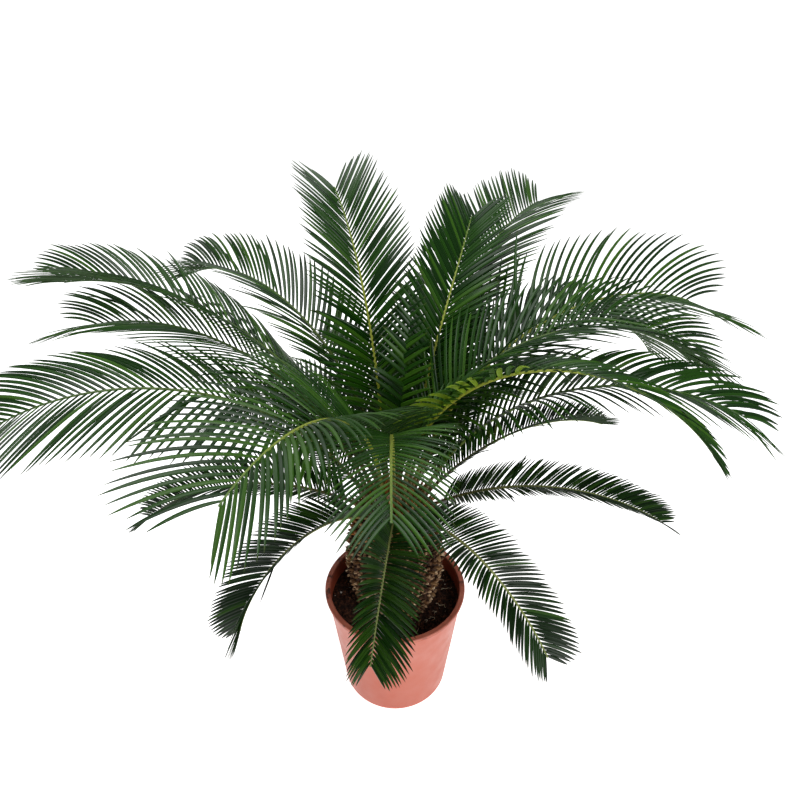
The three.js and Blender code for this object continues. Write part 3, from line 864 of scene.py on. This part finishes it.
def rib_course(ring, seat, heading, rise, fall, length, sweep):
    """The rib's centre points, and at each the way along the rib, across it and up from its face."""
    out = SEAT_RADIUS[ring]
    around = math.radians(seat)
    dome = CROWN_HEIGHT * math.sqrt(1 - (out / CROWN_RADIUS) ** 2)
    foot = np.array([out * math.cos(around), out * math.sin(around), TRUNK_TOP + dome])

    def way(share):
        return direction(
            np.radians(heading + sweep * share),
            np.radians(rise + (fall - rise) * share**BEND_POWER),
        )

    share = np.linspace(0, 1, RIB_STEPS + 1)
    steps = way((share[1:] + share[:-1]) / 2) * (length / RIB_STEPS)
    centres = np.concatenate([np.zeros((1, 3)), np.cumsum(steps, axis=0)])
    centres += foot - SEAT_DEPTH * way(share[:1])
    along = way(share)
    across = direction(np.radians(heading + sweep * share + 90), np.zeros_like(share))
    return share, centres, along, across, unit(np.cross(along, across))


def on_course(course, share):
    """The point and the three ways on a rib's course, at shares of its length."""
    known = course[0]
    taken = []
    for values in course[1:]:
        taken.append(np.stack([np.interp(share, known, values[:, axis]) for axis in range(3)], axis=1))
    return taken[0], unit(taken[1]), unit(taken[2]), unit(taken[3])


RIB_SECTION = np.array(
    [
        (1.0, 0.0),
        (0.82, 0.42),
        (0.30, 0.42),
        (0.0, 0.62),
        (-0.30, 0.42),
        (-0.82, 0.42),
        (-1.0, 0.0),
        (-0.62, -0.72),
        (0.0, -1.0),
        (0.62, -0.72),
    ]
)
THORN = np.array([(1, 0), (0, 0.7), (-1, 0), (0, -0.7)])
THORN_STATIONS = np.array([0, 0.5, 1])
THORN_WIDTHS = 0.0011 * np.array([1.0, 0.7, 0.05])


def rib_material(name, *stops):
    """A rib's skin: its colour runs along the rib by the attribute share, with fine streaks."""
    material, shader = new_material(name, stops[0][1], 0.5, 0.4)
    nodes, links = material.node_tree.nodes, material.node_tree.links
    share = nodes.new("ShaderNodeAttribute")
    share.attribute_name = "share"
    base = ramp(material, share.outputs["Fac"], *stops)
    streaks = ramp(material, noise(material, 140, 3), (0.42, (0, 0, 0)), (0.75, (0.55,) * 3))
    darker = nodes.new("ShaderNodeHueSaturation")
    darker.inputs["Value"].default_value = 0.62
    links.new(base, darker.inputs["Color"])
    links.new(over(material, streaks, base, darker.outputs["Color"]), shader.inputs["Base Color"])
    bumped(material, shader, noise(material, 420, 2), 0.0003)
    return material


young_rib = rib_material(
    "young_rib",
    (0.0, tint(84, 54, 28)),
    (0.06, tint(86, 68, 32)),
    (0.14, tint(72, 78, 30)),
    (0.30, tint(78, 96, 32)),
    (0.60, tint(72, 94, 38)),
    (1.0, tint(50, 80, 30)),
)
fresh_rib = rib_material(
    "fresh_rib",
    (0.0, tint(88, 56, 28)),
    (0.06, tint(96, 76, 34)),
    (0.14, tint(104, 104, 36)),
    (0.26, tint(140, 146, 42)),
    (0.65, tint(136, 146, 54)),
    (1.0, tint(78, 106, 42)),
)
old_rib = rib_material(
    "old_rib",
    (0.0, tint(88, 58, 34)),
    (0.10, tint(98, 82, 44)),
    (0.30, tint(112, 112, 58)),
    (0.70, tint(132, 140, 84)),
    (1.0, tint(112, 124, 62)),
)

FRESH_RIBS = ["young_frond_" + number for number in ("01", "02", "09", "10", "11", "14")]


def mark_share(piece, share):
    """Store on each point its place along the rib, 0 at the crown and 1 at the tip."""
    marks = piece.data.attributes.new("share", "FLOAT", "POINT")
    marks.data.foreach_set("value", share)


courses = {}
for name, ring, seat, heading, rise, fall, rib_length, sweep, *_ in FRONDS:
    age = name.split("_")[0]
    flush = FLUSH[age]
    skin = old_rib if age == "old" else fresh_rib if name in FRESH_RIBS else young_rib
    course = rib_course(ring, seat, heading, rise, fall, rib_length, sweep)
    courses[name] = course
    share, centres, along, across, face = course
    width = flush["rib_width"] + (flush["rib_tip_width"] - flush["rib_width"]) * share**0.8
    width *= 1 + STALK_SWELL * np.maximum(1 - share / STALK_SWELL_SHARE, 0) ** 1.5
    rib = skinned(
        name + "_rib",
        tube_rings(centres[None], face[None], width[None] / 2, RIB_SECTION),
        one_paint(np.zeros(1, dtype=int), RIB_STEPS, len(RIB_SECTION)),
        (skin,),
    )
    mark_share(rib, np.repeat(share, len(RIB_SECTION)))

    # prickles along both edges of the stalk
    places = np.repeat(np.linspace(0.3, 0.97, PRICKLES), 2) * flush["stalk"]
    side = np.tile([-1.0, 1.0], PRICKLES)[:, None]
    root, ahead, sideways, upward = on_course(course, places)
    way = unit(side * sideways + 0.5 * ahead + 0.35 * upward)
    thorn_length = (0.004 + 0.008 * places / flush["stalk"]) * (1 if age == "young" else 0.7)
    thorn_lines = blade_lines(root, way, 0.4 * ahead, thorn_length + 0.003, THORN_STATIONS)
    thorn_width = np.tile(THORN_WIDTHS, (2 * PRICKLES, 1))
    thorns = skinned(
        name + "_thorns",
        tube_rings(thorn_lines, upward[:, None], thorn_width, THORN),
        one_paint(np.zeros(2 * PRICKLES, dtype=int), len(THORN_STATIONS) - 1, len(THORN)),
        (skin,),
    )
    mark_share(thorns, np.repeat(places, len(THORN_STATIONS) * len(THORN)))
    bpy.ops.object.select_all(action="DESELECT")
    thorns.select_set(True)
    rib.select_set(True)
    bpy.context.view_layer.objects.active = rib
    bpy.ops.object.join()
    bpy.ops.object.shade_smooth_by_angle(angle=math.radians(50))
    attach(rib, "root")
    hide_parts(name)


# ---------------------------------------------------------------- leaflets
# Narrow, leathery leaflets stand in two close rows on each rib. Each is arched across, with its edges
# rolled down and a fine ridge below, and it bends over and droops towards its sharp, dry tip.

LEAF_STATIONS = np.array([0, 0.06, 0.14, 0.24, 0.36, 0.48, 0.60, 0.71, 0.81, 0.89, 0.95, 1.0])
LEAF_OUTLINE = np.array([0.50, 0.70, 0.86, 0.96, 1.0, 0.99, 0.93, 0.83, 0.68, 0.49, 0.27, 0.03])
LEAF_SECTION = np.array(
    [
        (1.0, -0.44),
        (0.60, 0.0),
        (0.0, -0.08),
        (-0.60, 0.0),
        (-1.0, -0.44),
        (-0.55, -0.16),
        (0.0, -0.34),
        (0.55, -0.16),
    ]
)
LEAF_UNDERSIDE = 4
TRUNK_CLEARANCE = 0.005
LIP_CLEARANCE = 0.004
LEAF_PAINTS = {
    "young": [
        new_material("young_leaf_dark", tint(18, 46, 8), 0.3, 0.26)[0],
        new_material("young_leaf_green", tint(30, 62, 12), 0.32, 0.26)[0],
        new_material("young_leaf_fresh", tint(49, 82, 21), 0.34, 0.26)[0],
        new_material("young_leaf_yellow", tint(112, 138, 34), 0.4, 0.26)[0],
        new_material("young_leaf_under", tint(38, 64, 22), 0.6, 0.2)[0],
        new_material("young_leaf_tip", tint(56, 70, 28), 0.6, 0.2)[0],
    ],
    "old": [
        new_material("old_leaf_dark", tint(14, 35, 7), 0.34, 0.2)[0],
        new_material("old_leaf_green", tint(22, 48, 10), 0.34, 0.2)[0],
        new_material("old_leaf_fresh", tint(40, 68, 18), 0.38, 0.2)[0],
        new_material("old_leaf_yellow", tint(78, 92, 30), 0.45, 0.2)[0],
        new_material("old_leaf_under", tint(26, 46, 16), 0.65, 0.2)[0],
        new_material("old_leaf_tip", tint(48, 54, 26), 0.6, 0.2)[0],
    ],
}
# The paints that are named below, by their places in those rows
FRESH, YELLOW, UNDER, TIP = 2, 3, 4, 5

# Breadth of the leaflets, the way from one to the next and how much they sag, beside those of their
# flush, on the fronds that differ from it
BUILDS = {
    "young_frond_01": (1.22, 0.9, 1.0),
    "young_frond_02": (1.28, 0.88, 1.0),
    "young_frond_03": (1.1, 0.92, 1.0),
    "young_frond_04": (0.92, 1.0, 1.0),
    "young_frond_05": (0.8, 1.0, 1.0),
    "young_frond_06": (0.74, 1.0, 1.0),
    "young_frond_09": (0.85, 0.9, 1.0),
    "young_frond_10": (0.7, 0.78, 1.0),
    "young_frond_11": (0.8, 1.2, 1.2),
    "young_frond_12": (0.95, 1.0, 1.7),
    "young_frond_13": (0.85, 0.95, 1.0),
    "young_frond_14": (0.85, 1.15, 1.0),
    "young_frond_15": (0.88, 0.95, 1.0),
    "young_frond_16": (0.85, 1.3, 1.0),
    "young_frond_17": (0.85, 1.3, 1.0),
    "old_frond_01": (1.4, 0.9, 1.0),
    "old_frond_02": (1.35, 0.95, 1.0),
    "old_frond_03": (1.1, 0.95, 1.0),
    "old_frond_04": (1.05, 0.82, 1.0),
    "old_frond_05": (1.1, 1.0, 1.0),
    "old_frond_06": (1.4, 1.06, 1.0),
}

# How the first four greens are dealt out, from dark to yellow; most fronds take their flush's deal
DEALS = {
    "young": (0.35, 0.53, 0.12, 0.0),
    "old": (0.55, 0.40, 0.05, 0.0),
    "old_frond_01": (0.1, 0.5, 0.4, 0.0),
    "old_frond_03": (0.3, 0.5, 0.2, 0.0),
    "old_frond_04": (0.3, 0.5, 0.2, 0.0),
    "young_frond_09": (0.15, 0.6, 0.25, 0.0),
    "young_frond_10": (0.1, 0.6, 0.3, 0.0),
    "young_frond_11": (0.3, 0.5, 0.2, 0.0),
    "old_frond_05": (0.3, 0.4, 0.25, 0.05),
}

# Near the stalk some leaflets are a shade lighter, partly for the yellower tone of the lowest leaflets
# and partly as painted light that lifts the shaded middle of the crown
LIGHT_SHARE = 0.4
LIGHTENED = 0.6

# The near row of this frond is broad and pale on both faces from the stalk to the middle
PALE_ROW = "young_frond_11"
PALE_SHARE = 0.55
PALE_BREADTH = 1.5

# Along the rib: the last leaflet's place, and the shares that no leaflet passes
LAST_LEAF = 0.985
LEAF_LIMITS = (0.05, 0.992)

# A few leaflets stray further than the rest, in degrees
STRAYS = 0.04
STRAY_ANGLE = 7
EVEN_ANGLE = 0.6


def leaf_share(share):
    """A leaflet's length as a share of the longest: shorter near the stalk and again at the tip."""
    start = np.sin(np.minimum(share / 0.35, 1) * math.pi / 2)
    end = np.maximum((share - 0.86) / 0.14, 0) ** 2
    return (0.5 + 0.5 * start) * (1 - 0.6 * end)


def slow_wander(count, size):
    """Random values that change little from one leaflet to the next."""
    steps = np.convolve(draw.normal(0, 1, count + 8), np.ones(9) / 3, mode="valid")
    return steps * size


def hung_clear(centres):
    """Centre points with those that would pass through the trunk or the pot's lip moved out of it."""
    out = np.hypot(centres[..., 0], centres[..., 1])
    share = (centres[..., 2] - TRUNK_FOOT) / (TRUNK_TOP - TRUNK_FOOT)
    beside_trunk = (share > 0) & (share < 1.08)
    over_wall = out > 0.5 * (mouth + trunk_radius(0))
    beside_lip = (centres[..., 2] < POT_HEIGHT + LIP_CLEARANCE) & over_wall
    least = np.where(beside_trunk, trunk_radius(share) + TRUNK_CLEARANCE, 0)
    least = np.where(beside_lip, LIP_RADIUS + LIP_CLEARANCE, least)
    push = np.maximum(least / np.maximum(out, 1e-6), 1)
    moved = centres.copy()
    moved[..., 0] *= push
    moved[..., 1] *= push
    return moved


for name, *_, rib_length, _, holds, spreads, longer in FRONDS:
    age = name.split("_")[0]
    flush = FLUSH[age]
    stalk = flush["stalk"]
    breadth, pitch, droop = BUILDS.get(name, (1, 1, 1))

    # where they stand on the rib, in two rows
    pairs = round(rib_length * (1 - stalk) / (pitch * flush["leaf_pitch"]))
    count = 2 * pairs
    side = np.repeat([-1.0, 1.0], pairs)
    place = np.tile(np.arange(pairs), 2) + np.where(side > 0, 0.5, 0) + draw.normal(0, 0.07, count)
    share = np.clip(stalk + (LAST_LEAF - stalk) * place / (pairs - 1), *LEAF_LIMITS)
    reach = np.clip((share - stalk) / (1 - stalk), 0, 1)
    root, along, across, face = on_course(courses[name], share)

    # which way they set out
    size = flush["wander"]
    wander = [np.concatenate([slow_wander(pairs, size), slow_wander(pairs, size)]) for _ in range(3)]
    stray = np.where(draw.uniform(0, 1, count) < STRAYS, STRAY_ANGLE, EVEN_ANGLE)
    of_side = np.where(side > 0, 0, 2)
    spread, spread_tip = np.take(spreads, of_side), np.take(spreads, of_side + 1)
    spread = spread + (spread_tip - spread) * reach**1.5
    spread = np.radians(spread + 1.4 * wander[0] + stray * draw.normal(0, 1, count))[:, None]
    held, held_tip = np.take(holds, of_side), np.take(holds, of_side + 1)
    held = held + (held_tip - held) * reach
    held = np.radians(held + 2 * wander[1] + stray * draw.normal(0, 1, count))[:, None]
    outward = across * side[:, None] * np.cos(held) + face * np.sin(held)
    way = along * np.cos(spread) + outward * np.sin(spread)
    broad = unit(along - np.sum(along * way, axis=1, keepdims=True) * way)
    upper = unit(np.cross(broad, way)) * side[:, None]

    # how they bend, how broad they are and how they are turned
    sag = droop * flush["sag"] * (1 - 0.5 * reach) * draw.normal(1, 0.05, count)
    length = flush["leaf_length"] * longer * leaf_share(share) * draw.normal(1, 0.025, count)
    curl = flush["curl"] * (along - 0.4 * UP)
    bend = curl - sag[:, None] * UP
    centres = hung_clear(blade_lines(root, way - 0.5 * curl, bend, length, LEAF_STATIONS))
    half_width = breadth * flush["leaf_width"] / 2 * (1 - 0.15 * reach) * draw.normal(1, 0.05, count)
    twist = np.radians(6 * wander[2] + draw.normal(0, 2, count))[:, None, None]
    turned = upper[:, None] * np.cos(twist) + broad[:, None] * np.sin(twist)

    # which green each one has
    shade = draw.choice(4, count, p=DEALS.get(name, DEALS[age]))
    # near the stalk a leaflet may go a shade lighter: partly its own yellower tone, partly painted light
    # for the shaded centre
    lighter = (share < LIGHT_SHARE) & (draw.uniform(0, 1, count) < LIGHTENED)
    shade = np.where(lighter & (shade < FRESH), shade + 1, shade)
    pale = (side < 0) & (share < PALE_SHARE) & (name == PALE_ROW)
    shade[pale] = draw.choice((FRESH, YELLOW), pale.sum(), p=(0.2, 0.8))
    half_width[pale] *= PALE_BREADTH
    paint = one_paint(shade, len(LEAF_STATIONS) - 1, len(LEAF_SECTION))
    paint[~pale, :, LEAF_UNDERSIDE:] = UNDER
    paint[:, -1:] = TIP

    rings = tube_rings(centres, turned, half_width[:, None] * LEAF_OUTLINE, LEAF_SECTION)
    leaves = skinned(name + "_leaflets", rings, paint, LEAF_PAINTS[age])
    bpy.ops.object.select_all(action="DESELECT")
    leaves.select_set(True)
    bpy.context.view_layer.objects.active = leaves
    bpy.ops.object.shade_smooth_by_angle(angle=math.radians(55))
    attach(leaves, "root")
    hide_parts(name)
